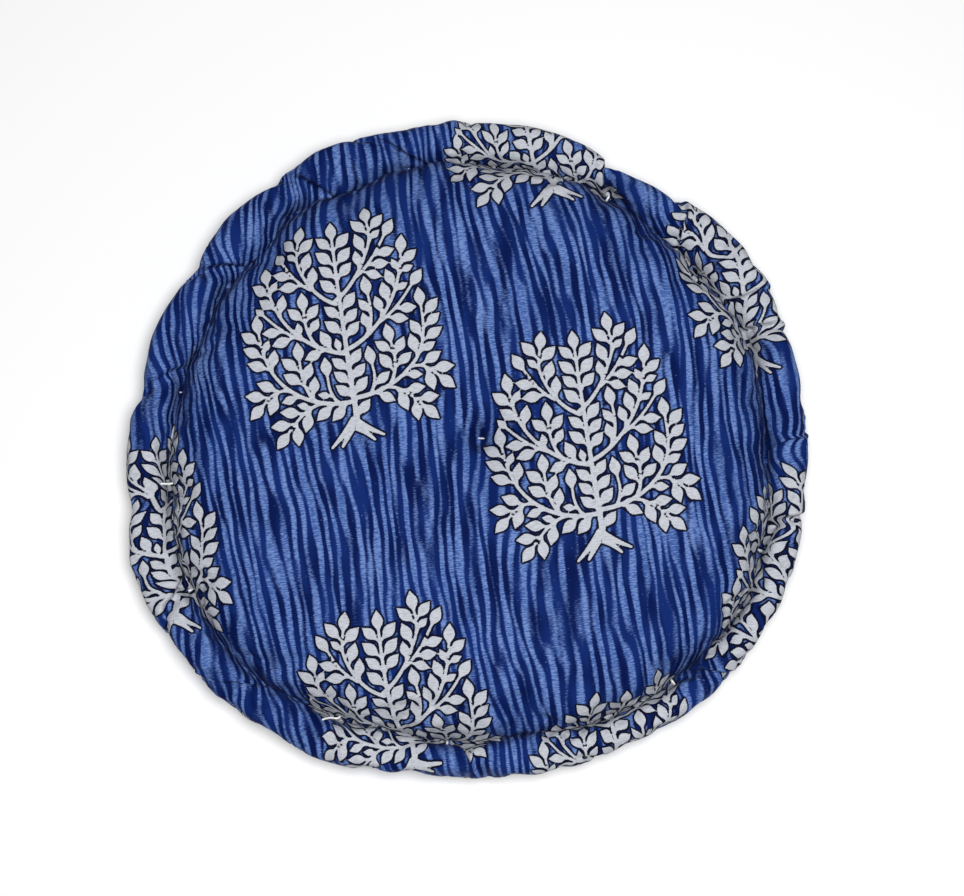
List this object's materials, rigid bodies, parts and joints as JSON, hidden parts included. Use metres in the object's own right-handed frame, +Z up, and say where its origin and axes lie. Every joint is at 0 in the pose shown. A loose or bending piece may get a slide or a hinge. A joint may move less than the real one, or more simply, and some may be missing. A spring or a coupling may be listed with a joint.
{
  "type": "round stool cushion",
  "caption": "Round filled seat cushion with a hand stitched edge roll, a sewn channel and a tufted middle, in block printed cotton.",
  "frame": {"origin": "middle of the outline, on the surface that the cushion rests on", "axes": "+Z up through the thickness, +X to the right and +Y away from the viewer in the picture"},
  "size_m": [0.3534, 0.3436, 0.0496],
  "materials": {
    "printed_cotton": "woven cotton with a soft sheen, grained blue ground and silver grey tree print",
    "cotton_thread": "thick undyed cotton thread"
  },
  "bodies": {
    "root": {"cushion": "printed_cotton"}
  },
  "joints": []
}
